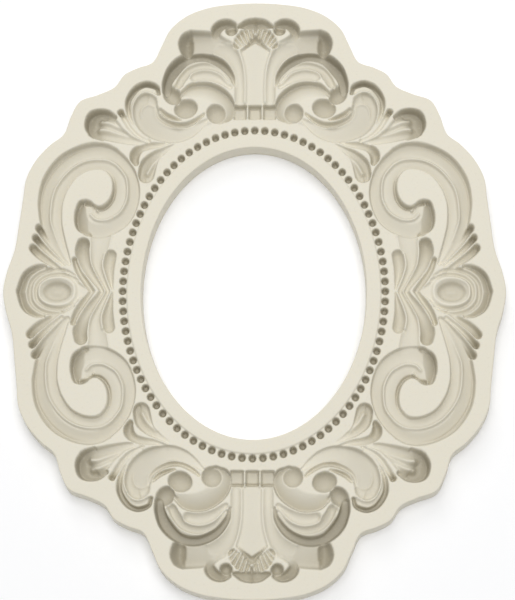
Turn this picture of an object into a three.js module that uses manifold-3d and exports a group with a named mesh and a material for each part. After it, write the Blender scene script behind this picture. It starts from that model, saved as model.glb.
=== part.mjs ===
// Silicone resin-casting mould for an oval baroque picture frame.
// It is one soft slab, cast in one piece: a flat underside, a scalloped outline, an oval opening right
// through it, a ring of bead pockets round the opening, and scrollwork sunk into the top face. The
// scrollwork is one quarter, mirrored across both centre lines.
// Millimetres. The origin is the centre of the underside, +Y runs the tall way and +Z points out of the
// carved face.
import * as THREE from 'three';
import { mergeVertices } from 'three/addons/utils/BufferGeometryUtils.js';
import Module from 'manifold-3d';

// Driving dimensions.
const SLAB_THICKNESS = 10;
const OPENING_HALF_WIDTH = 45;
const OPENING_HALF_HEIGHT = 59.7;
const OPENING_SIDES = 64;
const DRAFT = 1.0075; // the underside is this much larger than the top face
const OUTLINE_POINTS = 96;

const BEAD_COUNT = 92;
const BEAD_RING_HALF_WIDTH = 52.5;
const BEAD_RING_HALF_HEIGHT = 67;
const BEAD_RADIUS = 1.55;
const BEAD_FLOOR_RADIUS = 0.9;
const BEAD_DEPTH = 2;
const BEAD_SIDES = 6;

const BAR_HALF_LENGTH = 8.8; // the short bar at the foot of the crest
const BAR_LOW = 72.2;
const BAR_HIGH = 78.8;
const BAR_DEPTH = 3.6;

const BALL_SIDES = 8;
const RIM = 0.3; // a cutter is at its widest this far above the top face
const SECTION_SIDES = 6;
const SECTION_POWER = 0.45; // below 1 squares the section, so that walls are steep
const STEPS_PER_SPAN = 2;

// The outline's first quarter at the top face, from the top centre to the right-hand side.
const OUTLINE_QUARTER = [
  [0, 121.8], [10, 121.3], [20, 119.7], [28.5, 116.2], [35, 110.5], [38.6, 103.2], [42.1, 96.3],
  [48.5, 93.7], [53.8, 90.8], [57.7, 85.5], [64.3, 82.3], [71.6, 79.5], [75.2, 73.1], [77.9, 65.5],
  [83.5, 60.8], [89, 54.4], [92.7, 46.6], [93.7, 38.2], [94.9, 28.1], [96.3, 17.3], [99.1, 8], [100.4, 0],
];

// A channel is a row of stations along its centre line: [x, y, half width, depth].
const C_SCROLL = [
  [69.8, 34, 2.2, 4.8], [67.4, 28.2, 4.6, 4.6], [59.8, 28.8, 5.4, 3.4], [53, 35.6, 5.6, 3.2],
  [52.8, 46, 5.7, 3.2], [59.4, 54.2, 5.3, 3.2], [69, 55.4, 5.4, 3.4], [77.6, 49.4, 5.8, 3.5],
  [82.6, 38.6, 5.4, 3.5], [81.8, 26, 4.8, 3.2], [76.8, 12, 3.2, 2.8],
];
const SIDE_FINGERS = [
  [[78, 13, 1.4, 2.6], [83.5, 20, 1.6, 3.2], [87.9, 26, 1.7, 4]],
  [[79, 10, 1.4, 2.6], [84.5, 16.5, 1.6, 3.2], [89, 21.9, 1.7, 4]],
  [[80, 8, 1.4, 2.6], [85, 13.5, 1.6, 3.2], [89.7, 18.1, 1.7, 4]],
];
const BIG_LOBE = [
  [46.5, 61.9, 0.8, 1.6], [54.5, 64, 2.4, 2.8], [60.5, 68, 4.8, 5.6], [65, 70.8, 5.4, 7.2],
  [69, 72.6, 2.2, 6.4],
];
const S_LEAF = [
  [43.2, 84.6, 3.4, 4.4], [47.8, 80.4, 5.6, 3.6], [45.6, 71.6, 5.4, 3.2], [36, 66.2, 5.2, 3],
  [21.5, 69.6, 1.2, 1.6],
];
const NUB = [[53, 74.6, 1.6, 2.4], [55.1, 75.2, 1.4, 2.4]];
const CRESCENT = [
  [8.6, 85.6, 0.5, 2], [10.4, 91.4, 1.5, 5], [15.4, 96.8, 1.9, 6.4], [22.4, 99.3, 1.7, 6.4],
  [29.4, 97.2, 2, 6.4], [34.4, 92.4, 2.7, 6.6], [36.2, 86.8, 2.4, 6.2], [35.2, 82.2, 2.8, 5],
];
const CREST_LEAF = [
  [10.8, 85.4, 1.4, 2.6], [16, 90.6, 3.8, 3.6], [23.4, 92.4, 4.6, 3.8], [29.6, 89.6, 4, 3.6],
  [31.4, 84.8, 1.8, 3],
];
const LOWER_CURL = [
  [31, 80.6, 1.6, 3], [27.4, 84.3, 1.9, 3.4], [21.4, 85.6, 1.7, 3.6], [15, 83, 1.6, 3.8],
  [11.2, 78.4, 1.6, 4], [11.2, 73.6, 1.8, 4.2], [15, 71.8, 1.6, 3.8],
];
const SMALL_CURL = [
  [9.6, 111, 1.9, 4.8], [12, 113, 1.8, 5.6], [15.6, 112, 1.7, 5.6], [16.6, 108.6, 1.7, 4.6],
  [13.4, 106.2, 1.4, 3.4],
];
const CROWN_LOBE = [
  [8.6, 101, 1.6, 2.8], [13.6, 104.4, 2.4, 3.4], [20.5, 105.4, 3.8, 4], [27, 104.8, 4.6, 6.2],
  [31.2, 104.4, 2, 5],
];
const LOBE_A = [[39, 59.4, 1.4, 2.4], [43.4, 58.8, 2.4, 3.2], [47.6, 57, 3.1, 4.8]];
const LOBE_B = [[37.4, 58, 0.8, 2], [40.8, 54.4, 2.6, 2.8], [43.8, 49.9, 3.2, 3.8]];
const STEM_SIDE = [
  [6, 79.4, 2.1, 2.8], [6, 88, 1.8, 2.6], [7, 96, 1.9, 2.6], [9.6, 102, 1.7, 2.6],
];
const QUARTER_CHANNELS = [
  C_SCROLL, ...SIDE_FINGERS, BIG_LOBE, S_LEAF, NUB, CRESCENT, CREST_LEAF, LOWER_CURL,
  SMALL_CURL, CROWN_LOBE, LOBE_A, LOBE_B, STEM_SIDE,
];

// Balls of the scrollwork: [x, y, radius, depth].
const QUARTER_BALLS = [
  [15.8, 75.1, 3.9, 3.4], [28.6, 78, 4.5, 4.6], [10.4, 110.9, 2.2, 4.6],
];

// Channels that cross the tall centre line, mirrored top to bottom only.
const END_CHANNELS = [
  [[0, 78.6, 4, 2.2], [0, 92, 4.4, 2], [0, 101, 4.8, 2.2], [0, 106.6, 2.6, 2.4]],
  [[-6.8, 112.2, 1.2, 4], [0, 113.4, 1.5, 4.4], [6.8, 112.2, 1.2, 4]],
  [
    [-6.4, 102.6, 1.4, 2.4], [-6.6, 107.6, 2.6, 3], [0, 110.2, 2.4, 3], [6.6, 107.6, 2.6, 3],
    [6.4, 102.6, 1.4, 2.4],
  ],
];

// Channels that cross the wide centre line, mirrored left to right only.
const SIDE_CHANNELS = [
  [
    [57.9, -14.6, 2.2, 3.4], [57.4, -7, 1.7, 2.8], [57.2, 0, 1.5, 2.6], [57.4, 7, 1.7, 2.8],
    [57.9, 14.6, 2.2, 3.4],
  ],
  [[62.2, -18.4, 3.6, 3.4], [62.6, -9, 3, 3], [60.6, 0, 2, 2.6], [62.6, 9, 3, 3], [62.2, 18.4, 3.6, 3.4]],
  [[69, -18.2, 3, 4.6], [68.6, -10.5, 3, 3.4], [64.4, 0, 2, 2.6], [68.6, 10.5, 3, 3.4], [69, 18.2, 3, 4.6]],
];

// The oval boss at each side: [x, half width, half height, depth], widest first.
const MEDALLION = [[83.4, 12.8, 10.2, 3.8], [79, 6, 3, 5.2]];
const MEDALLION_CRESCENT = [
  [85, -9, 1.4, 4.4], [91.4, -6.6, 2.3, 5.6], [93.6, 0, 2.5, 6], [91.4, 6.6, 2.3, 5.6], [85, 9, 1.4, 4.4],
];

const wasm = await Module();
wasm.setup();

// A closed three.js geometry as a solid that can be joined and cut.
function solidOf(geometry) {
  const bare = geometry.clone();
  bare.deleteAttribute('normal');
  bare.deleteAttribute('uv');
  const merged = mergeVertices(bare);
  return new wasm.Manifold(new wasm.Mesh({
    numProp: 3,
    vertProperties: merged.attributes.position.array,
    triVerts: new Uint32Array(merged.index.array),
  }));
}

function geometryOf(solid) {
  const mesh = solid.getMesh();
  const geometry = new THREE.BufferGeometry();
  geometry.setAttribute('position', new THREE.BufferAttribute(mesh.vertProperties, 3));
  geometry.setIndex(new THREE.BufferAttribute(mesh.triVerts, 1));
  geometry.computeVertexNormals();
  return geometry;
}

// The scalloped outline: the quarter, mirrored into one closed smooth curve.
function outlineShape() {
  const right = OUTLINE_QUARTER;
  const lowerRight = OUTLINE_QUARTER.slice(0, -1).reverse().map(([x, y]) => [x, -y]);
  const half = [...right, ...lowerRight];
  const left = half.slice(1, -1).reverse().map(([x, y]) => [-x, y]);
  const around = [...half, ...left].map(([x, y]) => new THREE.Vector3(x, y, 0));
  const curve = new THREE.CatmullRomCurve3(around, true);
  return new THREE.Shape(curve.getSpacedPoints(OUTLINE_POINTS).slice(0, -1));
}

// The slab, with the underside drawn out to the draft.
function slab() {
  const depth = SLAB_THICKNESS;
  const geometry = new THREE.ExtrudeGeometry(outlineShape(), { depth, bevelEnabled: false });
  const at = geometry.attributes.position;
  for (let i = 0; i < at.count; i += 1) {
    const spread = at.getZ(i) === 0 ? DRAFT : 1;
    at.setXY(i, at.getX(i) * spread, at.getY(i) * spread);
  }
  return solidOf(geometry);
}

function openingPlug() {
  const plug = new THREE.CylinderGeometry(1, 1, SLAB_THICKNESS + 2, OPENING_SIDES);
  plug.rotateX(Math.PI / 2);
  plug.scale(OPENING_HALF_WIDTH, OPENING_HALF_HEIGHT, 1);
  plug.translate(0, 0, SLAB_THICKNESS / 2);
  return solidOf(plug);
}

// One cutter that follows its stations: a cylinder bent along their curve, with a squared oval section.
function channel(stations, mirrorX, mirrorY) {
  const centres = stations.map(([x, y]) => new THREE.Vector3(x * mirrorX, y * mirrorY, 0));
  const path = new THREE.CatmullRomCurve3(centres);
  const sections = stations.map(([, , width, depth]) => new THREE.Vector3(width, depth, 0));
  const sizes = new THREE.CatmullRomCurve3(sections);
  const steps = STEPS_PER_SPAN * (stations.length - 1);
  const bent = new THREE.CylinderGeometry(1, 1, 1, SECTION_SIDES, steps, false, Math.PI / SECTION_SIDES);
  const at = bent.attributes.position;
  const squared = (value) => Math.sign(value) * Math.abs(value) ** SECTION_POWER;
  for (let i = 0; i < at.count; i += 1) {
    const along = THREE.MathUtils.clamp(at.getY(i) + 0.5, 0, 1);
    const centre = path.getPoint(along);
    const heading = path.getTangent(along);
    const size = sizes.getPoint(along);
    const across = squared(at.getX(i)) * size.x;
    const down = squared(at.getZ(i));
    const drop = down > 0 ? down * (size.y + RIM) : down;
    at.setXYZ(i, centre.x - heading.y * across, centre.y + heading.x * across, SLAB_THICKNESS + RIM - drop);
  }
  return solidOf(bent);
}

function ball([x, y, radius, depth], mirrorX, mirrorY) {
  const cutter = new THREE.SphereGeometry(1, BALL_SIDES, BALL_SIDES - 2);
  cutter.rotateX(Math.PI / 2);
  cutter.scale(radius, radius, depth + RIM);
  cutter.translate(x * mirrorX, y * mirrorY, SLAB_THICKNESS + RIM);
  return solidOf(cutter);
}

function bar(mirrorY) {
  const height = BAR_HIGH - BAR_LOW;
  const cutter = new THREE.BoxGeometry(2 * BAR_HALF_LENGTH, height, BAR_DEPTH + 1);
  cutter.translate(0, mirrorY * (BAR_LOW + height / 2), SLAB_THICKNESS + 1 - (BAR_DEPTH + 1) / 2);
  return solidOf(cutter);
}

function medallion(mirrorX) {
  return MEDALLION.map(([x, halfWidth, halfHeight, depth]) => {
    const cutter = new THREE.SphereGeometry(1, 2 * BALL_SIDES, BALL_SIDES - 2);
    cutter.rotateX(Math.PI / 2);
    cutter.scale(halfWidth, halfHeight, depth + RIM);
    cutter.translate(x * mirrorX, 0, SLAB_THICKNESS + RIM);
    return solidOf(cutter);
  });
}

// Bead centres at even steps of arc length round the ring, the first one at the top.
function beadPockets() {
  const [across, up] = [BEAD_RING_HALF_WIDTH, BEAD_RING_HALF_HEIGHT];
  const ring = new THREE.EllipseCurve(0, 0, across, up, Math.PI / 2, Math.PI * 2.5);
  ring.arcLengthDivisions = 40 * BEAD_COUNT;
  return ring.getSpacedPoints(BEAD_COUNT).slice(0, -1).map((centre) => {
    const height = BEAD_DEPTH + 1;
    const flare = (BEAD_RADIUS - BEAD_FLOOR_RADIUS) / BEAD_DEPTH;
    const cutter = new THREE.CylinderGeometry(BEAD_RADIUS + flare, BEAD_FLOOR_RADIUS, height, BEAD_SIDES);
    cutter.rotateX(Math.PI / 2);
    cutter.translate(centre.x, centre.y, SLAB_THICKNESS + 1 - height / 2);
    return solidOf(cutter);
  });
}

function scrollwork() {
  const cutters = [];
  for (const mirrorX of [1, -1]) {
    for (const mirrorY of [1, -1]) {
      cutters.push(...QUARTER_CHANNELS.map((stations) => channel(stations, mirrorX, mirrorY)));
      cutters.push(...QUARTER_BALLS.map((row) => ball(row, mirrorX, mirrorY)));
    }
    cutters.push(...SIDE_CHANNELS.map((stations) => channel(stations, mirrorX, 1)));
    cutters.push(channel(MEDALLION_CRESCENT, mirrorX, 1));
    cutters.push(...medallion(mirrorX));
  }
  for (const mirrorY of [1, -1]) {
    cutters.push(...END_CHANNELS.map((stations) => channel(stations, 1, mirrorY)));
    cutters.push(bar(mirrorY));
  }
  return cutters;
}

function mouldBody() {
  const cutters = [openingPlug(), ...scrollwork(), ...beadPockets()];
  const carved = cutters.reduce((body, cutter) => body.subtract(cutter), slab());
  const silicone = new THREE.MeshStandardMaterial({ color: 0xe6dfca, roughness: 0.62, metalness: 0 });
  const mesh = new THREE.Mesh(geometryOf(carved), silicone);
  mesh.name = 'mould_body';
  return mesh;
}

const mould = new THREE.Group();
mould.add(mouldBody());

export default mould;
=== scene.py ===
# Looks of the silicone resin-casting mould: the carved slab as one fine mesh, its material, the floor,
# the lights and the camera. Relief sizes are in millimetres, on the CAD model's axes: the origin is the
# centre of the underside, +Y runs the tall way and +Z points out of the carved face.
import math

import bpy
import numpy as np
from mathutils import Matrix, Vector


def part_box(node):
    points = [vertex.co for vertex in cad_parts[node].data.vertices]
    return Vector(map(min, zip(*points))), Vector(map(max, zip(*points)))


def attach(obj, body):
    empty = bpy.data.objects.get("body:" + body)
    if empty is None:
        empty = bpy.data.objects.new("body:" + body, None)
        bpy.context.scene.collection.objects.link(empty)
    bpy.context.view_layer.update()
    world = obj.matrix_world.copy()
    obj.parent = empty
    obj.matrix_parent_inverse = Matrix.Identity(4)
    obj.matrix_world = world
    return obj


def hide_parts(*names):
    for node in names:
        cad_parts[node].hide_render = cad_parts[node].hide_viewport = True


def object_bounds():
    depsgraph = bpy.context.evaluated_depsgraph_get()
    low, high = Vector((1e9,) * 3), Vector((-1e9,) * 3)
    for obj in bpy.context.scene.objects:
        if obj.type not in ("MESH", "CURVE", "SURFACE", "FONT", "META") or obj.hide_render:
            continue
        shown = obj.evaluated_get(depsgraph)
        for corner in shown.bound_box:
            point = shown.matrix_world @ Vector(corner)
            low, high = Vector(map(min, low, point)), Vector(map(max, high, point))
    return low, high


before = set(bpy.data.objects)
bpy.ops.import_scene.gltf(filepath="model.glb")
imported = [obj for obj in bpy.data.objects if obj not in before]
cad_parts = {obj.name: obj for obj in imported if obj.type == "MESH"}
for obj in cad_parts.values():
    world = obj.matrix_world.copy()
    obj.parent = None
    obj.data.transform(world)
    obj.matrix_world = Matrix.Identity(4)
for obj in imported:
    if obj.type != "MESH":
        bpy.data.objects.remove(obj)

MM = 0.001

# Mesh density: columns round each quarter of the slab, and rows from the opening to the outline. The
# columns are evenly spaced along an ellipse amid the carving.
COLUMNS = 368
ROWS = 190
COLUMN_ELLIPSE = (74, 93)
SOFTENING_PASSES = 1

# Painted shade: the silicone's colour darkens with depth, and a wall takes a share of its floor's painted
# shade.
WALL_PAINTED_SHADE_CELLS = 1  # how far up a wall that reaches, in cells of the mesh
WALL_PAINTED_SHADE_START = 0.5  # depth below the top face at which it begins
WALL_PAINTED_SHADE_SHARE = 0.5
PAINTED_SHADE_ATTRIBUTE = "painted_shade_depth"
PAINTED_SHADE_RANGE = (0.8, 7.2)  # depths at which the painted shade begins and is darkest

OPENING = (45.0, 59.7)  # half width and half height
UNDERSIDE_GROWTH = 0.0075  # the underside is this much larger than the top face
RIM_RADIUS = 0.45  # round the opening and the outline, at the top face
WALL_SLOPE = 11.0  # how steeply a cavity's wall falls, as depth over width

# The sunk band that the beads stand in. Its outer edge fades out more gently than its inner one.
BAND_DEPTH = 0.6
BAND_SLOPE = 3.0
BAND_OUTSIDE_SHARE = 0.25
BAND_INSIDE = (50.6, 65.1)
BAND_OUTSIDE = (60.5, 74.0)

BEAD_COUNT = 92
BEAD_RING = (52.5, 67.0)
BEAD_RADIUS = 1.5
BEAD_DEPTH = 4.0
BEAD_POWER = 5
BEAD_PAINTED_SHADE = 8.0  # painted shade: little light reaches so small a pocket, so it is painted with the darker colour of a deeper one

# The outline's first quarter at the top face, from the top centre to the right-hand side.
OUTLINE_QUARTER = [
    (0, 121.8), (10, 121.3), (20, 119.7), (28.5, 116.2), (35, 110.5), (38.6, 103.2), (42.1, 96.3),
    (48.5, 93.7), (53.8, 90.8), (57.7, 85.5), (64.3, 82.3), (71.6, 79.5), (75.2, 73.1), (77.9, 65.5),
    (83.5, 60.8), (89, 54.4), (92.7, 46.6), (93.7, 38.2), (94.9, 28.1), (96.3, 17.3), (99.1, 8),
    (100.4, 0),
]

# From here to the bar, every stroke is a cavity along a line: rows of x, y, half width and depth. The
# strokes are for the first quarter, which is mirrored across both centre lines.

# The big scroll.
SCROLL = [
    (68.3, 34.0, 3.8, 2.7), (67.4, 30.8, 5.0, 2.7), (65.2, 28.7, 6.2, 2.7), (60.6, 28.6, 6.1, 2.7),
    (54.8, 32.4, 6.0, 2.8), (51.9, 40, 5.5, 2.9), (52.9, 47.6, 5.0, 2.9), (57.2, 53.5, 4.9, 3.0),
    (62.8, 56.1, 5.5, 3.1), (69.5, 55.2, 5.6, 3.2), (75.8, 51.6, 5.7, 3.3), (80.4, 45.2, 5.6, 3.3),
    (82.4, 38.1, 5.1, 3.3), (82.5, 33, 4.7, 3.2), (81.7, 27, 4.2, 3.0), (79.4, 20.8, 3.3, 2.7),
    (76.4, 14.6, 2.1, 2.2), (74.2, 11.4, 0.9, 1.6),
]
SCROLL_TONGUE = [
    (69.4, 35.4, 2.2, 5.8), (69.6, 31.6, 3.1, 6.4), (68.7, 27.6, 3.5, 6.2), (66.9, 25.0, 2.4, 4.6),
]
SCROLL_HOOK = [
    (58.8, 49.4, 0.4, 2.8), (57.0, 45.5, 0.6, 3.6), (56.9, 41, 0.75, 4.2), (58.2, 37.2, 0.9, 4.4),
    (60.8, 34.7, 0.9, 4.4), (63.4, 34.4, 0.7, 4.2), (65.8, 35.8, 0.6, 4.2), (68.2, 36.6, 1.0, 5.0),
]
SCROLL_EDGE = [
    (56, 58.8, 0.3, 2.6), (61, 60.7, 0.6, 3.2), (68, 60.3, 0.8, 3.6), (75, 57.5, 0.9, 3.9),
    (81.2, 52.1, 0.9, 4.0), (85.4, 44.8, 0.9, 4.0), (86.7, 37.6, 0.8, 3.8), (86.2, 31.4, 0.6, 3.6),
    (85.0, 27.6, 0.4, 3.2),
]

# The fan at the scroll's foot.
FAN_FINGERS = [
    [(75.4, 11.4, 0.6, 1.4), (80.2, 16.9, 1.1, 2.2), (84.2, 22.0, 1.35, 3.6), (86.9, 26.0, 1.5, 6.2)],
    [(76.4, 10.6, 0.6, 1.4), (81.6, 14.9, 1.1, 2.2), (85.6, 18.9, 1.3, 3.6), (88.1, 21.9, 1.45, 6.2)],
]
FAN_EDGE = [(78.6, 9.6, 0.7, 2.0), (83.0, 12.5, 1.4, 3.4), (86.8, 15.4, 1.6, 4.2), (89.0, 17.7, 1.6, 5.6)]

# The leaves between the boss and the beads.
ACANTHUS = [
    [(57.6, 14.7, 2.4, 3.7), (58.2, 11, 2.4, 3.5), (57.9, 7.4, 1.8, 3.0), (57.2, 3.6, 1.0, 2.4),
     (56.6, 0.6, 0.3, 1.6)],
    [(61.6, 22.4, 4.1, 1.9), (62.2, 18.4, 3.8, 2.0), (62.9, 15, 3.2, 2.2), (63.2, 11, 2.6, 2.4),
     (61.8, 7, 2.0, 2.4), (59.8, 3, 1.3, 2.2), (58.2, 0, 1.0, 2.0)],
    [(68.7, 19.2, 2.7, 5.2), (69, 16, 2.9, 4.6), (67.6, 11, 2.4, 3.4), (65, 6.6, 1.9, 2.9),
     (61.8, 2.2, 1.3, 2.4), (60.4, -0.5, 1.1, 2.2)],
    [(72.1, 12.8, 1.1, 3.6), (70.2, 8.4, 1.4, 3.2), (67.4, 4, 1.4, 3.0), (64.2, -0.8, 1.2, 2.6)],
]

# The fluted lobe between the scroll and the crest.
BIG_LOBE = [
    (45, 61.6, 0.8, 1.0), (50.4, 62.7, 1.7, 1.8), (55.4, 65.0, 3.3, 2.6), (60.2, 67.8, 5.2, 3.6),
    (63.0, 69.3, 6.2, 5.2), (63.6, 69.8, 6.0, 6.0),
]
BIG_LOBE_TIP = [
    (57.6, 72.5, 1.2, 4.2), (61.2, 74.0, 2.0, 6.0), (65.4, 72.8, 3.0, 7.0), (66.4, 69.4, 3.0, 7.2),
    (65.3, 66.2, 2.2, 6.2), (62.2, 64.0, 1.3, 4.2),
]

# The spoon-shaped leaf beside the crest, with its rim and stripes.
SPOON_RIM = [
    (39.4, 82.6, 0.7, 3.6), (40.2, 85.2, 0.9, 4.8), (42.4, 86.5, 1.1, 5.4), (45, 86.9, 1.1, 5.6),
    (48.0, 85.7, 1.15, 5.4), (50.3, 83.2, 1.2, 5.2), (51.8, 80.2, 1.1, 4.8), (52.1, 77.2, 0.9, 3.8),
    (51.5, 73.6, 0.7, 2.6), (49.8, 70, 0.5, 1.6),
]
SPOON_BAND = [
    (40.3, 83.2, 1.1, 1.5), (42.6, 84.8, 1.6, 1.7), (45.2, 85.3, 1.7, 1.7), (48.0, 84.2, 1.7, 1.7),
    (50.2, 81.6, 1.6, 1.7), (51.4, 78.2, 1.4, 1.6), (51.4, 74.6, 1.2, 1.5), (50.0, 70.4, 1.0, 1.3),
    (47.2, 66.6, 0.9, 1.1), (43.6, 63.8, 0.7, 0.9),
]
SPOON = [
    (44.6, 78.6, 4.6, 3.4), (45.2, 76, 4.9, 3.5), (44.4, 72, 4.9, 3.5), (41.6, 68.6, 4.6, 3.4),
    (37.4, 66.2, 3.9, 3.0), (32, 65.0, 3.1, 2.6), (27, 66.2, 2.5, 2.2), (22.8, 68.8, 1.7, 1.6),
    (19.6, 71.2, 0.7, 1.0),
]

SPOON_STRIPES = [
    [(40.6, 77.4, 0.8, 2.4), (39.6, 73.6, 1.1, 3.1), (36.6, 71.0, 1.2, 3.3), (32.4, 69.4, 1.1, 3.2),
     (28, 69.4, 1.0, 3.0), (24, 71.2, 0.9, 2.6), (20.8, 73.8, 0.5, 1.6)],
    [(38.8, 75.8, 0.7, 2.4), (36.6, 73.7, 1.0, 3.2), (33.4, 72.2, 0.8, 3.0), (30.4, 71.4, 0.4, 1.6)],
]

# The small strokes round the big lobe.
NUB = [
    (54.9, 74.7, 1.3, 5.2), (54.2, 73.6, 1.15, 3.4), (53.0, 71.8, 1.2, 2.2), (50.6, 67.8, 1.0, 1.7),
    (47.2, 64.6, 0.9, 1.5), (43, 62.4, 0.6, 1.2),
]
LOBE_A = [
    (34.2, 61.9, 0.5, 0.9), (38.6, 60.8, 1.0, 1.5), (43, 60.3, 1.4, 2.2), (46.4, 59.3, 1.7, 3.2),
    (48.5, 57.2, 2.0, 4.6), (48.8, 54.8, 1.8, 4.8), (48.2, 53.2, 1.2, 3.8),
]
LOBE_B = [
    (33.0, 60.6, 0.5, 0.9), (36.8, 58.4, 1.2, 1.7), (40.4, 55.9, 2.2, 3.0), (43.0, 52.4, 3.3, 4.2),
    (44.0, 48.3, 3.3, 4.6),
]

# The crest: crescent, leaves and curls, then the stem with its crown and shell.
CRESCENT = [
    (8.6, 86.3, 0.5, 2.2), (10.0, 91.2, 1.3, 4.8), (14.4, 96.3, 1.9, 6.0), (21.4, 99.1, 2.0, 6.4),
    (28.3, 97.9, 2.2, 6.6), (33.4, 93.3, 2.6, 6.8), (35.8, 88.1, 2.2, 6.6), (36.3, 83.9, 1.8, 5.6),
]
CREST_LEAF = [
    [(10.2, 87.8, 0.8, 1.6), (14.0, 92.8, 1.9, 2.4), (18.4, 95.0, 2.4, 2.8), (22.8, 95.2, 2.6, 3.0),
     (27, 93.7, 2.9, 3.2), (29.9, 90.7, 2.8, 3.2), (31.5, 87.1, 2.2, 3.0)],
    [(10.2, 85.5, 1.0, 1.4), (14, 88.6, 2.0, 2.0), (18.4, 90.6, 2.7, 2.3), (22.4, 90.8, 2.7, 2.4),
     (24.6, 90.3, 2.4, 2.4)],
]
LOWER_CURL = [
    (28.6, 82.3, 2.2, 3.2), (25, 84.1, 3.3, 4.4), (19.6, 83.9, 3.9, 4.9), (14.8, 81.3, 3.9, 4.9),
    (12.1, 77.9, 3.8, 4.9), (12.0, 74.5, 3.7, 4.8), (14.2, 72.5, 2.6, 4.0),
]
SMALL_CURL = [
    (9.0, 112.5, 1.1, 5.0), (11.3, 113.2, 1.6, 6.2), (13.8, 112.5, 2.1, 6.6), (15.8, 110.7, 2.2, 6.2),
    (16.3, 108.5, 1.8, 4.8), (15.1, 106.7, 1.3, 3.2), (12.8, 105.4, 1.0, 2.2), (10.4, 104.6, 0.6, 1.4),
]
STEM_SIDE = [
    (6.2, 79.2, 2.1, 1.8), (6.3, 88, 2.2, 2.0), (7.6, 95.4, 2.9, 2.5), (11.0, 100.6, 3.7, 2.8),
    (15.5, 102.8, 3.8, 3.2),
]
CROWN = [
    (12, 102.4, 1.6, 2.2), (15.4, 104.0, 3.2, 3.2), (19, 104.4, 4.9, 4.2), (24.6, 104.4, 5.4, 4.8),
    (26.2, 104.4, 5.5, 4.8),
]
CROWN_ROLL = [
    (26.8, 108.6, 1.4, 5.4), (27.8, 107.0, 2.8, 7.0), (28.3, 104.4, 3.4, 7.2), (28.0, 101.4, 2.9, 7.0),
    (27.6, 99.8, 1.9, 5.8),
]
STEM = [(0, 78.6, 4.7, 1.5), (0, 90, 4.8, 1.5), (0, 97, 5.8, 1.6), (0, 100.4, 6.2, 1.6)]
SHELL_ARC = [
    (-3, 112.7, 2.0, 5.6), (0, 113.1, 2.1, 6.0), (3, 112.8, 2.0, 5.6), (5.2, 112.1, 1.4, 5.2),
    (7, 111.6, 0.7, 4.4),
]
SHELL_ARC_GROOVE = [(0, 111.6, 0.5, 7.0), (0, 114.8, 0.6, 7.2)]
SHELL_BED = [
    (-0.6, 110.3, 1.5, 4.2), (1.2, 110.1, 1.6, 4.2), (3.3, 108.4, 2.7, 4.2), (5.4, 106.2, 2.9, 4.0),
    (7.1, 104.2, 2.1, 3.6),
]
SHELL_WEDGE = [
    (-2.2, 104.6, 0.9, 4.4), (0, 106.4, 1.6, 4.8), (2.2, 104.6, 0.9, 4.4), (4.4, 102.5, 0.4, 3.6),
    (5.8, 101.0, 0.3, 2.4),
]
SHELL_RIBS = [
    [(1.2, 111.0), (0.8, 109.2)], [(3.1, 110.6), (2.0, 106.8)], [(4.8, 109.8), (3.1, 105.1)],
    [(6.5, 108.7), (4.1, 103.8)], [(8.0, 107.3), (5.0, 102.9)], [(9.0, 105.7), (5.9, 102.1)],
]
SHELL_RIB_SIZE = (0.42, 4.8)  # half width and height

# The short bar at the foot of the crest.
BAR_HALF_LENGTH = 8.7
BAR_LOW = 71.7
BAR_HIGH = 78.1
BAR_DEPTH = 3.6
BAR_GROOVE = [(-1, 77.2, 0.7, 5.0), (8.3, 77.2, 0.7, 5.0)]

# Balls, and the boss's cabochon: x, y, half sizes along and across, turn in degrees, depth. A power of 2
# gives a round bowl, and a higher one a flatter floor and steeper sides.
BALL_POWER = 3
BALLS = [
    (15.7, 74.2, 4.1, 4.1, 0, 4.6),
    (28.2, 76.2, 4.8, 4.0, -12, 4.8),
    (33.9, 81.9, 4.2, 3.4, 50, 5.4),
    (9.9, 110.2, 2.5, 2.5, 0, 5.6),
]

# The oval boss at the side, from the flat wedge that points at the beads to the deep outer crescent.
BOSS_BED = [
    (66.2, 0, 0.6, 1.2), (70, 0, 3.4, 1.3), (75, 0, 6.8, 1.4), (80, 0, 9.3, 1.6), (84.6, 0, 9.8, 1.8),
]
CABOCHON = (79.0, 0.0, 6.0, 4.2, 0, 4.4)
CABOCHON_POWER = 4
BOSS_RINGS = [
    [(70.4, 4.2, 0.3, 1.4), (73.6, 6.0, 0.6, 2.0), (78, 7.0, 0.9, 2.7), (83.2, 6.0, 1.1, 3.0),
     (86.6, 3.0, 1.2, 3.1), (87.4, -0.8, 1.2, 3.1)],
    [(71.6, 6.2, 0.3, 1.4), (75.6, 8.3, 0.5, 2.0), (80.6, 9.0, 0.9, 2.9), (86, 7.4, 1.1, 3.3),
     (89.4, 3.9, 1.25, 3.5), (90.2, -0.8, 1.3, 3.5)],
]
BOSS_CRESCENT = [
    (84.2, 9.7, 1.2, 3.6), (87.8, 8.6, 1.8, 5.2), (91.1, 5.6, 2.2, 6.0), (93.2, -0.8, 2.2, 6.2),
]

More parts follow.
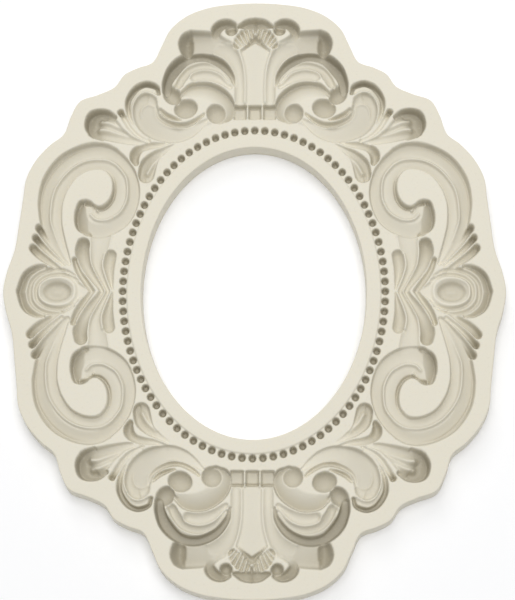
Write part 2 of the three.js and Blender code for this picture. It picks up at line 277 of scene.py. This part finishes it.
# Raised lines on the cavity floors: rows of x, y, half width and height. None comes nearer to the top face
# than LEAST_DEPTH.
LEAST_DEPTH = 0.3
ACANTHUS_RIDGES = [
    [(60.2, 15.2, 0.4, 1.2), (60.8, 11, 0.4, 1.4), (59.8, 6.8, 0.4, 1.3), (58.3, 3, 0.4, 1.1),
     (57.2, 0, 0.4, 0.9)],
    [(65.9, 20.4, 0.4, 1.2), (66, 16, 0.4, 1.4), (65.2, 11, 0.4, 1.4), (63.1, 6.6, 0.4, 1.2),
     (60.7, 2.2, 0.4, 0.8), (59.4, -0.5, 0.4, 0.6)],
    [(71.0, 12.4, 0.4, 1.2), (69.4, 8.6, 0.4, 1.2), (66.3, 4.2, 0.4, 1.0), (63.2, -0.6, 0.4, 0.8)],
]
CREST_RIDGES = [
    [(10.0, 88.4, 0.4, 0.8), (13.4, 93.6, 0.4, 1.0), (18.2, 96.2, 0.4, 1.2), (23, 96.4, 0.4, 1.2),
     (28, 94.5, 0.4, 1.2), (31.5, 90.4, 0.4, 1.2), (33.2, 86.4, 0.4, 1.0)],
    [(10.8, 86.9, 0.4, 0.6), (14.6, 91.2, 0.4, 0.9), (19.0, 93.0, 0.4, 1.0), (23.4, 92.8, 0.4, 1.0),
     (26.4, 91.4, 0.4, 1.0), (27, 89.4, 0.4, 0.8)],
]
BOSS_RIM = [
    (71.6, -0.6, 0.8, 1.2), (72.4, 2.8, 0.8, 1.3), (75.3, 5.0, 0.8, 1.4), (79, 5.6, 0.8, 1.5),
    (83.0, 4.8, 0.8, 1.5), (85.6, 2.8, 0.8, 1.5), (86.3, -0.6, 0.8, 1.5),
]
BOSS_DOME = [(78.0, 0, 2.0, 0.9), (80.0, 0, 2.0, 0.9)]
SCROLL_RIDGE = [
    (66.2, 31.8, 0.5, 1.0), (64.0, 29.8, 0.5, 1.4), (60.5, 29.4, 0.5, 1.4), (57.5, 30.5, 0.5, 1.4),
    (54.5, 32.6, 0.5, 1.4), (52.5, 35.8, 0.5, 1.4), (51.5, 39.2, 0.5, 1.4), (51.5, 44, 0.5, 1.4),
    (52.3, 47.5, 0.5, 1.4), (54.3, 50.5, 0.5, 1.4), (56.8, 53, 0.5, 1.4), (60, 54.6, 0.5, 1.4),
    (63.5, 55, 0.5, 1.4), (67.5, 54.6, 0.5, 1.4), (71.5, 53.1, 0.5, 1.4), (75.2, 50.5, 0.5, 1.4),
    (78.5, 46.7, 0.5, 1.4), (80.8, 42.7, 0.5, 1.4), (82, 38.2, 0.5, 1.4), (82.4, 33.5, 0.5, 1.4),
    (82.3, 29, 0.5, 1.2), (81, 25, 0.5, 0.6), (79.5, 21, 0.5, 0.3),
]
LOBE_FINGERS = [
    [(49.4, 65.2, 0.5, 0.4), (54.6, 67.9, 0.9, 1.2), (59.4, 70.5, 1.3, 2.4), (62.6, 71.3, 1.2, 3.4)],
    [(49.6, 63.9, 0.5, 0.4), (55.6, 65.9, 0.9, 1.0), (60.6, 67.6, 1.2, 2.2), (63.2, 67.8, 1.1, 3.4)],
]
STEM_RIDGE = [
    (4.1, 79, 0.45, 1.2), (4.1, 88, 0.45, 1.2), (4.7, 94, 0.45, 1.3), (6.0, 99, 0.45, 1.4),
    (7.4, 101.6, 0.45, 1.5), (9.6, 104.4, 0.45, 1.5), (12.6, 105.9, 0.45, 1.5), (15.6, 106.4, 0.4, 1.4),
]
BAR_RIDGE = [(3.0, 72.3, 0.55, 3.6), (3.0, 77.4, 0.55, 4.4)]
LOBE_B_RIDGE = [(38.4, 56, 0.7, 0.8), (41.6, 52.6, 1.0, 1.7), (43.6, 49.2, 1.0, 1.7)]
SPOON_RIDGE = [
    (41.2, 77.6, 0.5, 0.3), (43.6, 78.6, 0.5, 0.5), (45.8, 77.6, 0.5, 0.5), (46.8, 75.2, 0.5, 0.5),
    (46.6, 73, 0.5, 0.2),
]


def smooth_rows(rows, gap=0.2):
    """Closely spaced rows on the smooth curve through the given ones; every column is carried along."""
    rows = np.array(rows, float)
    padded = np.vstack([2 * rows[0] - rows[1], rows, 2 * rows[-1] - rows[-2]])
    spans = []
    for a, b, c, d in zip(padded[:-3], padded[1:-2], padded[2:-1], padded[3:]):
        count = max(2, int(np.hypot(*(c - b)[:2]) / gap))
        t = np.linspace(0, 1, count, endpoint=False)[:, None]
        curve = 2 * b + (c - a) * t + (2 * a - 5 * b + 4 * c - d) * t**2 + (3 * b - a - 3 * c + d) * t**3
        spans.append(curve / 2)
    spans.append(rows[-1:])
    return np.vstack(spans)


def along_line(line, x, y):
    """For each point, the nearest place on the line, its sideways distance (left is positive) and how far
    it lies past an end."""
    heading = np.gradient(line[:, :2], axis=0)
    heading /= np.hypot(heading[:, 0], heading[:, 1])[:, None]
    nearest = np.empty(len(x), int)
    for start in range(0, len(x), 20000):
        part = slice(start, start + 20000)
        gaps = (x[part, None] - line[None, :, 0]) ** 2 + (y[part, None] - line[None, :, 1]) ** 2
        nearest[part] = gaps.argmin(axis=1)
    dx = x - line[nearest, 0]
    dy = y - line[nearest, 1]
    side = heading[nearest, 0] * dy - heading[nearest, 1] * dx
    ahead = heading[nearest, 0] * dx + heading[nearest, 1] * dy
    inner = (nearest > 0) & (nearest < len(line) - 1)
    return nearest, side, np.where(inner, 0.0, ahead)


def trough(across):
    """Rounded section."""
    return np.sqrt(np.clip(1 - across**2, 0, 1))


def flat(across):
    """Level floor that the wall slope alone bounds."""
    return np.ones_like(across)


def dished(across):
    """Nearly level floor with rounded sides."""
    return np.clip(1 - across**8, 0, 1) ** 0.5


def scoop_right(across):
    """Deep on the right-hand side of the line, and rising to nothing on the left."""
    return np.clip((1 - across) / 2, 0, 1) ** 1.15


def scoop_left(across):
    """Deep on the left-hand side of the line, and rising to nothing on the right."""
    return np.clip((1 + across) / 2, 0, 1) ** 0.8


def lean_right(across):
    """Deepest near the right-hand side."""
    return (0.86 - 0.14 * across) * dished(across)


def lean_left(across):
    """Deepest near the left-hand side."""
    return (0.86 + 0.14 * across) * dished(across)


def scroll_section(across):
    """Two flutes, the outer one on the line's left deeper, with a step between them."""
    outer = 0.62 + 0.4 * np.sin(np.clip(across, 0, 1) * math.pi * 0.62)
    inner = 0.7 + 0.3 * np.clip(-across, 0, 1) ** 2
    return np.where(across > 0, outer, inner)


def region(x, y, line, reach):
    """Which points lie within reach of the line's box."""
    low = line[:, :2].min(axis=0) - reach
    high = line[:, :2].max(axis=0) + reach
    return np.flatnonzero((x > low[0]) & (x < high[0]) & (y > low[1]) & (y < high[1]))


def carve(depth, x, y, rows, section=trough):
    """Sinks a stroke into the depth field, where it is deeper than what is there."""
    line = smooth_rows(rows)
    near = region(x, y, line, line[:, 2].max())
    place, side, ahead = along_line(line, x[near], y[near])
    width = np.maximum(line[place, 2], 0.05)
    across = np.copysign(np.hypot(side, ahead), side) / width
    wall = WALL_SLOPE * width * (1 - np.abs(across))
    sunk = np.minimum(line[place, 3] * section(across), wall)
    depth[near] = np.maximum(depth[near], np.where(np.abs(across) < 1, sunk, 0))


def raise_line(depth, x, y, rows):
    """Lifts a rounded ridge out of the depth field."""
    line = smooth_rows(rows)
    near = region(x, y, line, 3 * line[:, 2].max())
    place, side, ahead = along_line(line, x[near], y[near])
    away = np.hypot(side, ahead) / line[place, 2]
    lifted = depth[near] - line[place, 3] * np.exp(-(away**2))
    depth[near] = np.maximum(lifted, np.minimum(depth[near], LEAST_DEPTH))


def carve_ball(depth, x, y, ball, power):
    """Sinks an oval bowl."""
    centre_x, centre_y, along, across, turn, deep = ball
    cosine = math.cos(math.radians(turn))
    sine = math.sin(math.radians(turn))
    dx = x - centre_x
    dy = y - centre_y
    away = np.hypot((cosine * dx + sine * dy) / along, (cosine * dy - sine * dx) / across)
    wall = WALL_SLOPE * min(along, across) * (1 - away)
    bowl = deep * np.sqrt(np.clip(1 - away**power, 0, 1))
    np.maximum(depth, np.where(away < 1, np.minimum(bowl, wall), 0), out=depth)


def carve_beads(depth, x, y, deep):
    """Round pockets at even steps of arc length round the opening."""
    turn = np.linspace(0, 2 * math.pi, 20001)
    ring = np.stack([BEAD_RING[0] * np.sin(turn), BEAD_RING[1] * np.cos(turn)], axis=1)
    run = np.concatenate([[0], np.cumsum(np.hypot(*np.diff(ring, axis=0).T))])
    steps = np.arange(BEAD_COUNT // 4 + 1) * run[-1] / BEAD_COUNT
    for centre_x, centre_y in zip(np.interp(steps, run, ring[:, 0]), np.interp(steps, run, ring[:, 1])):
        bead = (centre_x, centre_y, BEAD_RADIUS, BEAD_RADIUS, 0, deep)
        carve_ball(depth, x, y, bead, BEAD_POWER)


def carve_band(depth, x, y):
    """Sinks the shallow oval band round the opening."""
    inside = (np.hypot(x / BAND_INSIDE[0], y / BAND_INSIDE[1]) - 1) * BAND_INSIDE[0]
    outside = (1 - np.hypot(x / BAND_OUTSIDE[0], y / BAND_OUTSIDE[1])) * BAND_OUTSIDE[0]
    edge = np.minimum(inside, outside * BAND_OUTSIDE_SHARE)
    np.maximum(depth, np.clip(edge * BAND_SLOPE, 0, BAND_DEPTH), out=depth)


def carve_scroll(depth, x, y):
    """The big scroll: two flutes and their ridge, the tongue at its inner end, and its darker edges."""
    carve(depth, x, y, SCROLL, scroll_section)
    raise_line(depth, x, y, SCROLL_RIDGE)
    carve(depth, x, y, SCROLL_TONGUE, scoop_left)
    carve(depth, x, y, SCROLL_HOOK)
    carve(depth, x, y, SCROLL_EDGE)


def carve_fan(depth, x, y):
    """Three fingers at the scroll's foot."""
    for finger in FAN_FINGERS:
        carve(depth, x, y, finger)
    carve(depth, x, y, FAN_EDGE, lean_right)


def carve_acanthus(depth, x, y):
    """Four leaves that meet their mirror images beside the boss, with ridges between them."""
    for leaf in ACANTHUS:
        carve(depth, x, y, leaf)
    for ridge in ACANTHUS_RIDGES:
        raise_line(depth, x, y, ridge)


def carve_big_lobe(depth, x, y):
    """The fluted lobe, deepest round its tip."""
    carve(depth, x, y, BIG_LOBE, dished)
    carve(depth, x, y, BIG_LOBE_TIP, lean_left)
    for finger in LOBE_FINGERS:
        raise_line(depth, x, y, finger)


def carve_spoon(depth, x, y):
    """The spoon-shaped leaf: its bowl, rim and stripes."""
    carve(depth, x, y, SPOON, lean_left)
    raise_line(depth, x, y, SPOON_RIDGE)
    carve(depth, x, y, SPOON_RIM, dished)
    carve(depth, x, y, SPOON_BAND)
    for stripe in SPOON_STRIPES:
        carve(depth, x, y, stripe)


def carve_small_lobes(depth, x, y):
    """The nub and the two petals round the big lobe."""
    carve(depth, x, y, NUB)
    carve(depth, x, y, LOBE_A)
    carve(depth, x, y, LOBE_B, lean_left)
    raise_line(depth, x, y, LOBE_B_RIDGE)


def carve_stem(depth, x, y):
    """The crest's stem, which spreads into the crown with a rolled end."""
    carve(depth, x, y, STEM, flat)
    carve(depth, x, y, STEM_SIDE)
    carve(depth, x, y, CROWN, lean_left)
    raise_line(depth, x, y, STEM_RIDGE)
    carve(depth, x, y, CROWN_ROLL)


def carve_bar(depth, x, y):
    """The short bar at the foot of the crest, with its upper groove and its cross ridge."""
    edge = np.minimum(BAR_HALF_LENGTH - x, np.minimum(y - BAR_LOW, BAR_HIGH - y))
    np.maximum(depth, np.clip(edge * WALL_SLOPE, 0, BAR_DEPTH), out=depth)
    carve(depth, x, y, BAR_GROOVE)
    raise_line(depth, x, y, BAR_RIDGE)


def carve_shell(depth, x, y):
    """The ribbed shell at the head of the crest, with the arc over it and the wedge under it."""
    carve(depth, x, y, SHELL_BED, flat)
    for rib in SHELL_RIBS:
        raise_line(depth, x, y, [end + SHELL_RIB_SIZE for end in rib])
    carve(depth, x, y, SHELL_ARC, lean_left)
    carve(depth, x, y, SHELL_ARC_GROOVE)
    carve(depth, x, y, SHELL_WEDGE)


def carve_boss(depth, x, y):
    """The oval boss at the side: a flat bed, two rings, the deep crescent, and the rimmed cabochon."""
    carve(depth, x, y, BOSS_BED, flat)
    for ring in BOSS_RINGS:
        carve(depth, x, y, ring)
    carve(depth, x, y, BOSS_CRESCENT, scoop_left)
    raise_line(depth, x, y, BOSS_RIM)
    carve_ball(depth, x, y, CABOCHON, CABOCHON_POWER)
    raise_line(depth, x, y, BOSS_DOME)


def carve_crest(depth, x, y):
    """The leaves, the scooped lower curl, the deep crescent and the small curl of the crest."""
    for leaf in CREST_LEAF:
        carve(depth, x, y, leaf)
    for ridge in CREST_RIDGES:
        raise_line(depth, x, y, ridge)
    carve(depth, x, y, LOWER_CURL, scoop_right)
    carve(depth, x, y, CRESCENT, dished)
    carve(depth, x, y, SMALL_CURL, lean_left)


def relief_depth(x, y):
    """Depth of the carving below the top face, for points in the first quarter."""
    depth = np.zeros_like(x)
    carve_band(depth, x, y)
    carve_beads(depth, x, y, BEAD_DEPTH)
    carve_scroll(depth, x, y)
    carve_fan(depth, x, y)
    carve_acanthus(depth, x, y)
    carve_boss(depth, x, y)
    carve_big_lobe(depth, x, y)
    carve_spoon(depth, x, y)
    carve_small_lobes(depth, x, y)
    carve_stem(depth, x, y)
    carve_bar(depth, x, y)
    carve_shell(depth, x, y)
    carve_crest(depth, x, y)
    for ball in BALLS:
        carve_ball(depth, x, y, ball, BALL_POWER)
    return depth


def outline_radius(angle):
    """Distance from the centre to the outline, for angles from +Y towards +X in the first quarter."""
    quarter = np.array(OUTLINE_QUARTER, float)
    before = quarter[1:3][::-1] * (-1, 1)
    after = quarter[-3:-1][::-1] * (1, -1)
    line = smooth_rows(np.vstack([before, quarter, after]))
    return np.interp(angle, np.arctan2(line[:, 0], line[:, 1]), np.hypot(line[:, 0], line[:, 1]))


def quarter_angles():
    """Angles of the first quarter's columns, from +Y towards +X."""
    turn = np.linspace(0, math.pi / 2, 4001)
    x = COLUMN_ELLIPSE[0] * np.sin(turn)
    y = COLUMN_ELLIPSE[1] * np.cos(turn)
    run = np.concatenate([[0], np.cumsum(np.hypot(np.diff(x), np.diff(y)))])
    even = np.linspace(0, run[-1], COLUMNS + 1)
    return np.arctan2(np.interp(even, run, x), np.interp(even, run, y))


def mirrored(values, flip_x, flip_y):
    """A quarter's columns carried round the whole slab: clockwise from the top centre."""
    back = values[::-1][1:]
    lower_right = back * flip_y
    lower_left = values[1:] * flip_x * flip_y
    upper_left = back[:-1] * flip_x
    return np.concatenate([values, lower_right, lower_left, upper_left])


def rim_steps():
    """Steps round a rim, from the wall to the top face: how far in from the wall and how far down."""
    bend = np.linspace(0, math.pi / 2, 4)[:-1]
    return list(zip(RIM_RADIUS * (1 - np.cos(bend)), RIM_RADIUS * (1 - np.sin(bend))))


def opening_side(opening, thickness):
    """Rows of radius and height up the opening's wall and over its rim."""
    wall = [(opening, share * (thickness - RIM_RADIUS)) for share in np.linspace(0, 1, 6)]
    rim = [(opening + aside, thickness - down) for aside, down in rim_steps()[1:]]
    return wall + rim


def carved_face(opening, outline, angle, thickness):
    """Rows of radius and height across the carved face, and the depth of painted shade for each bead pocket.
    """
    low = opening + RIM_RADIUS
    high = outline - RIM_RADIUS
    rows = []
    pockets = []
    for share in np.linspace(0, 1, ROWS):
        radius = low + (high - low) * share
        x = radius * np.sin(angle)
        y = radius * np.cos(angle)
        pocket = np.zeros_like(x)
        # Painted shade for the bead pocket, as dark as a deeper pocket's.
        carve_beads(pocket, x, y, BEAD_PAINTED_SHADE)
        rows.append((radius, thickness - relief_depth(x, y)))
        pockets.append(pocket)
    return rows, np.array(pockets).T


def outer_side(opening, outline, thickness):
    """Rows of radius and height over the outline's rim, down its wall and back across the underside."""
    rim = [(outline - aside, thickness - down) for aside, down in reversed(rim_steps())]
    wall = []
    for share in np.linspace(0.8, 0, 5):
        wall.append((outline * (1 + UNDERSIDE_GROWTH * (1 - share)), share * thickness))
    edge = outline * (1 + UNDERSIDE_GROWTH)
    underside = [(opening + (edge - opening) * share, 0) for share in (0.75, 0.5, 0.25)]
    return rim + wall + underside


def slab_points(thickness):
    """Every vertex, as columns round the slab by rows round its section: x, y, z and painted shade depth."""
    angle = quarter_angles()
    outline = outline_radius(angle)
    opening = 1 / np.hypot(np.sin(angle) / OPENING[0], np.cos(angle) / OPENING[1])
    inside = opening_side(opening, thickness)
    top, pockets = carved_face(opening, outline, angle, thickness)
    section = inside + top + outer_side(opening, outline, thickness)
    radii = np.array([radius for radius, height in section]).T
    heights = np.array([height + np.zeros_like(angle) for radius, height in section]).T
    face = slice(len(inside), len(inside) + ROWS)
    x = mirrored(radii * np.sin(angle)[:, None], -1, 1)
    y = mirrored(radii * np.cos(angle)[:, None], 1, -1)
    z = mirrored(heights, 1, 1)
    soften(z, face)
    # Painted shade depth, on the carved face only: it darkens the colour in the hollows.
    shade = np.zeros_like(z)
    shade[:, face] = painted_shade_depth(thickness - z[:, face], mirrored(pockets, 1, 1))
    return x, y, z, shade


def soften(z, face):
    """Rounds the relief's edges a little, as silicone copies them."""
    for _ in range(SOFTENING_PASSES):
        top = z[:, face]
        top = (np.roll(top, 1, axis=0) + 4 * top + np.roll(top, -1, axis=0)) / 6
        top[:, 1:-1] = (top[:, :-2] + 4 * top[:, 1:-1] + top[:, 2:]) / 6
        z[:, face] = top


def painted_shade_depth(depth, pockets):
    """The depth that sets the silicone's painted shade: a wall's lies between its own and that of its floor.
    """
    own = np.maximum(depth, pockets)
    below = own
    for _ in range(WALL_PAINTED_SHADE_CELLS):
        below = np.maximum(below, np.maximum(np.roll(below, 1, axis=0), np.roll(below, -1, axis=0)))
        below[:, 1:-1] = np.maximum(below[:, 1:-1], np.maximum(below[:, :-2], below[:, 2:]))
    return np.where(depth > WALL_PAINTED_SHADE_START, own + WALL_PAINTED_SHADE_SHARE * (below - own), own)


def ring_faces(columns, rows):
    """The quads of a closed ring of columns of vertices, each as four vertex numbers."""
    column = np.arange(columns)[:, None]
    row = np.arange(rows)[None, :]
    next_row = (row + 1) % rows
    here = column * rows
    there = (column + 1) % columns * rows
    corners = [here + row, here + next_row, there + next_row, there + row]
    return np.stack(np.broadcast_arrays(*corners), axis=2).reshape(-1, 4)


def quad_mesh(name, points, faces):
    """A smooth-shaded mesh of quads."""
    mesh = bpy.data.meshes.new(name)
    mesh.vertices.add(len(points))
    mesh.vertices.foreach_set("co", points.ravel())
    mesh.loops.add(faces.size)
    mesh.loops.foreach_set("vertex_index", faces.ravel())
    mesh.polygons.add(len(faces))
    mesh.polygons.foreach_set("loop_start", np.arange(0, faces.size, 4))
    mesh.polygons.foreach_set("use_smooth", np.ones(len(faces), bool))
    mesh.update(calc_edges=True)
    mesh.validate()
    return mesh


def carved_slab():
    """The one-piece mould: a closed ring of quads round the opening, fitted to the CAD node's box."""
    low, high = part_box("mould_body")
    x, y, z, shade = slab_points((high.z - low.z) / MM)
    points = np.stack([x, y, z], axis=2).reshape(-1, 3) * MM
    points[:, 2] += low.z
    mesh = quad_mesh("silicone_mould", points, ring_faces(*x.shape))
    # The painted shade depth goes onto the mesh for the material to read.
    mesh.attributes.new(PAINTED_SHADE_ATTRIBUTE, "FLOAT", "POINT").data.foreach_set("value", shade.ravel())
    piece = bpy.data.objects.new("silicone_mould", mesh)
    bpy.context.scene.collection.objects.link(piece)
    return piece


class Nodes:
    """A material's node tree, with short calls to add and join nodes."""

    def __init__(self, name):
        self.material = bpy.data.materials.new(name)
        self.material.use_nodes = True
        self.tree = self.material.node_tree
        self.tree.nodes.clear()

    def add(self, kind, **settings):
        node = self.tree.nodes.new(kind)
        for key, value in settings.items():
            setattr(node, key, value)
        return node

    def join(self, source, target):
        self.tree.links.new(source, target)

    def noise(self, place, scale, detail, roughness=0.5):
        node = self.add("ShaderNodeTexNoise")
        node.inputs["Scale"].default_value = scale
        node.inputs["Detail"].default_value = detail
        node.inputs["Roughness"].default_value = roughness
        self.join(place, node.inputs["Vector"])
        return node.outputs["Fac"]

    def spread(self, value, low, high, out_low, out_high, ramp="SMOOTHSTEP"):
        node = self.add("ShaderNodeMapRange", interpolation_type=ramp)
        for key, number in zip(("From Min", "From Max", "To Min", "To Max"), (low, high, out_low, out_high)):
            node.inputs[key].default_value = number
        self.join(value, node.inputs["Value"])
        return node.outputs["Result"]

    def blend(self, share, first, second):
        node = self.add("ShaderNodeMix", data_type="RGBA")
        self.join(share, node.inputs[0])
        for socket, colour in ((node.inputs[6], first), (node.inputs[7], second)):
            if isinstance(colour, tuple):
                socket.default_value = colour + (1,)
            else:
                self.join(colour, socket)
        return node.outputs[2]


SILICONE_COLOURS = ((0.775, 0.735, 0.615), (0.80, 0.755, 0.63))
# The darkest painted shade, for the deepest hollows.
SILICONE_PAINTED_SHADE = (0.385, 0.35, 0.265)
SILICONE_DUST = (0.66, 0.62, 0.50)
CLOUD_SCALE = 22
SKIN_SCALE = 900


def silicone_material():
    """Cream silicone: satin, faintly translucent, with a fine cast skin, soft mottling, settled dust, and
    painted shade that darkens it with depth in the carving.
    """
    nodes = Nodes("silicone")
    shader = nodes.add("ShaderNodeBsdfPrincipled")
    output = nodes.add("ShaderNodeOutputMaterial")
    nodes.join(shader.outputs["BSDF"], output.inputs["Surface"])
    place = nodes.add("ShaderNodeTexCoord").outputs["Object"]
    # Painted shade: the colour darkens with the depth attribute, standing in for shade in the hollows.
    depth = nodes.add("ShaderNodeAttribute", attribute_name=PAINTED_SHADE_ATTRIBUTE).outputs["Fac"]
    sunk = nodes.spread(depth, *PAINTED_SHADE_RANGE, 0, 1, "LINEAR")
    cloudy = nodes.noise(place, CLOUD_SCALE, 3)
    fine = nodes.noise(place, SKIN_SCALE, 4, 0.6)
    mottled = nodes.blend(cloudy, *SILICONE_COLOURS)
    shaded = nodes.blend(sunk, mottled, SILICONE_PAINTED_SHADE)
    speck = nodes.spread(fine, 0.3, 0.45, 0.25, 0)
    nodes.join(nodes.blend(speck, shaded, SILICONE_DUST), shader.inputs["Base Color"])
    nodes.join(nodes.spread(cloudy, 0.3, 0.7, 0.5, 0.62), shader.inputs["Roughness"])
    shader.inputs["Specular IOR Level"].default_value = 0.35
    shader.inputs["Subsurface Weight"].default_value = 0.06
    shader.inputs["Subsurface Radius"].default_value = (1.0, 0.8, 0.5)
    shader.inputs["Subsurface Scale"].default_value = 0.0015
    bump = nodes.add("ShaderNodeBump")
    bump.inputs["Strength"].default_value = 0.12
    bump.inputs["Distance"].default_value = 0.0002
    nodes.join(fine, bump.inputs["Height"])
    nodes.join(bump.outputs["Normal"], shader.inputs["Normal"])
    return nodes.material


BOARD_COLOURS = ((0.97, 0.97, 0.975), (0.985, 0.985, 0.985))


def floor_material():
    """White studio board with a barely visible tooth."""
    nodes = Nodes("white_board")
    shader = nodes.add("ShaderNodeBsdfPrincipled")
    output = nodes.add("ShaderNodeOutputMaterial")
    nodes.join(shader.outputs["BSDF"], output.inputs["Surface"])
    place = nodes.add("ShaderNodeTexCoord").outputs["Object"]
    grain = nodes.noise(place, 300, 3)
    nodes.join(nodes.blend(grain, *BOARD_COLOURS), shader.inputs["Base Color"])
    shader.inputs["Roughness"].default_value = 0.9
    shader.inputs["Emission Color"].default_value = (1, 1, 1, 1)
    shader.inputs["Emission Strength"].default_value = 0.06
    shader.inputs["Specular IOR Level"].default_value = 0.1
    return nodes.material


def floor():
    """The board that the mould lies on."""
    bpy.ops.mesh.primitive_plane_add(size=8, location=(0, 0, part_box("mould_body")[0].z))
    board = bpy.context.object
    board.name = "studio_floor"
    board.data.materials.append(floor_material())


def area_light(name, place, aim, size, power, colour):
    """A round soft light."""
    data = bpy.data.lights.new(name, "AREA")
    data.shape = "DISK"
    data.size = size
    data.energy = power
    data.color = colour
    lamp = bpy.data.objects.new(name, data)
    lamp.location = place
    lamp.rotation_euler = (Vector(aim) - Vector(place)).to_track_quat("-Z", "Y").to_euler()
    bpy.context.scene.collection.objects.link(lamp)


def lights():
    """A soft key from the head end, a wide overhead light and an even studio fill."""
    area_light("key", (-0.25, 1.0, 1.15), (0, 0, 0), size=1.0, power=5.6, colour=(1, 0.995, 0.985))
    area_light("overhead", (0.1, 0.1, 1.7), (0, 0, 0), size=1.3, power=16.6, colour=(1, 1, 1))
    world = bpy.data.worlds.new("studio")
    world.use_nodes = True
    background = world.node_tree.nodes["Background"]
    background.inputs["Color"].default_value = (0.97, 0.98, 1.0, 1)
    background.inputs["Strength"].default_value = 0.31
    bpy.context.scene.world = world


# The camera, in metres: where it is and what it looks at, both as heights above the mould's top face.
CAMERA_EYE = (0.02095, -0.14933, 0.68303)
CAMERA_AIM = (0.00159, -0.00371, 0)
CAMERA_LENS = 105.2
CAMERA_ROLL = 0.383  # degrees


def above(place, top):
    """A place given above the top face, as a point of the scene."""
    x, y, height = place
    return Vector((x, y, height + top))


def camera(top):
    """At the photograph's viewing angle: almost straight down, from the foot end and a little right."""
    eye = above(CAMERA_EYE, top)
    aim = above(CAMERA_AIM, top)
    back = (eye - aim).normalized()
    right = Vector((0, 1, 0)).cross(back).normalized()
    turn = Matrix((right, back.cross(right), back)).transposed().to_4x4()
    data = bpy.data.cameras.new("camera")
    data.lens = CAMERA_LENS
    data.sensor_width = 36
    data.clip_start = 0.01
    view = bpy.data.objects.new("camera", data)
    roll = Matrix.Rotation(math.radians(CAMERA_ROLL), 4, "Z")
    view.matrix_world = Matrix.Translation(eye) @ turn @ roll
    bpy.context.scene.collection.objects.link(view)
    bpy.context.scene.camera = view


def main():
    cad_low, cad_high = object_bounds()
    top = cad_high.z
    mould = carved_slab()
    mould.data.materials.append(silicone_material())
    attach(mould, "root")
    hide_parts("mould_body")
    floor()
    lights()
    camera(top)
    bpy.context.scene.view_settings.view_transform = "Standard"


main()
